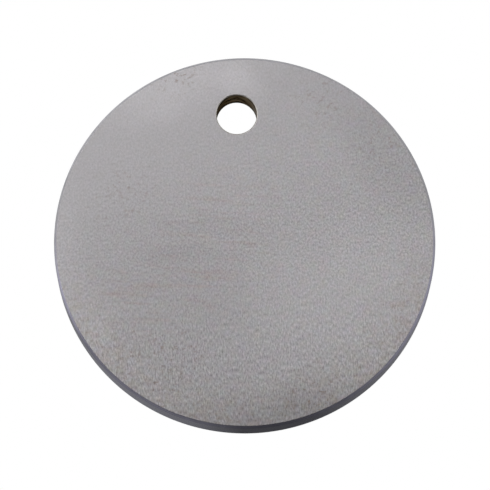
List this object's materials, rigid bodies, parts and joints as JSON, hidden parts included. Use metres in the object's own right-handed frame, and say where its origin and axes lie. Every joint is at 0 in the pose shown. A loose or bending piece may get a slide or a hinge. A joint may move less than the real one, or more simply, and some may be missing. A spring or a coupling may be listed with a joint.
{
  "type": "blanking disc",
  "caption": "Flat round solid steel disc with a plain through hole near its rim and chamfered rim edges, used as a blind to close off a pipe flange.",
  "frame": {"origin": "centre of the back face, which the disc rests on when it lies flat", "axes": "+Z out of the front face along the disc's axis, +Y from the disc's axis towards the hole, +X to the right seen from the front with the hole at the top"},
  "size_m": [0.127, 0.127, 0.01],
  "materials": {
    "blasted_steel": "satin, blasted faces and a darker turned rim"
  },
  "bodies": {
    "root": {"blind_disc": "blasted_steel"}
  },
  "joints": []
}
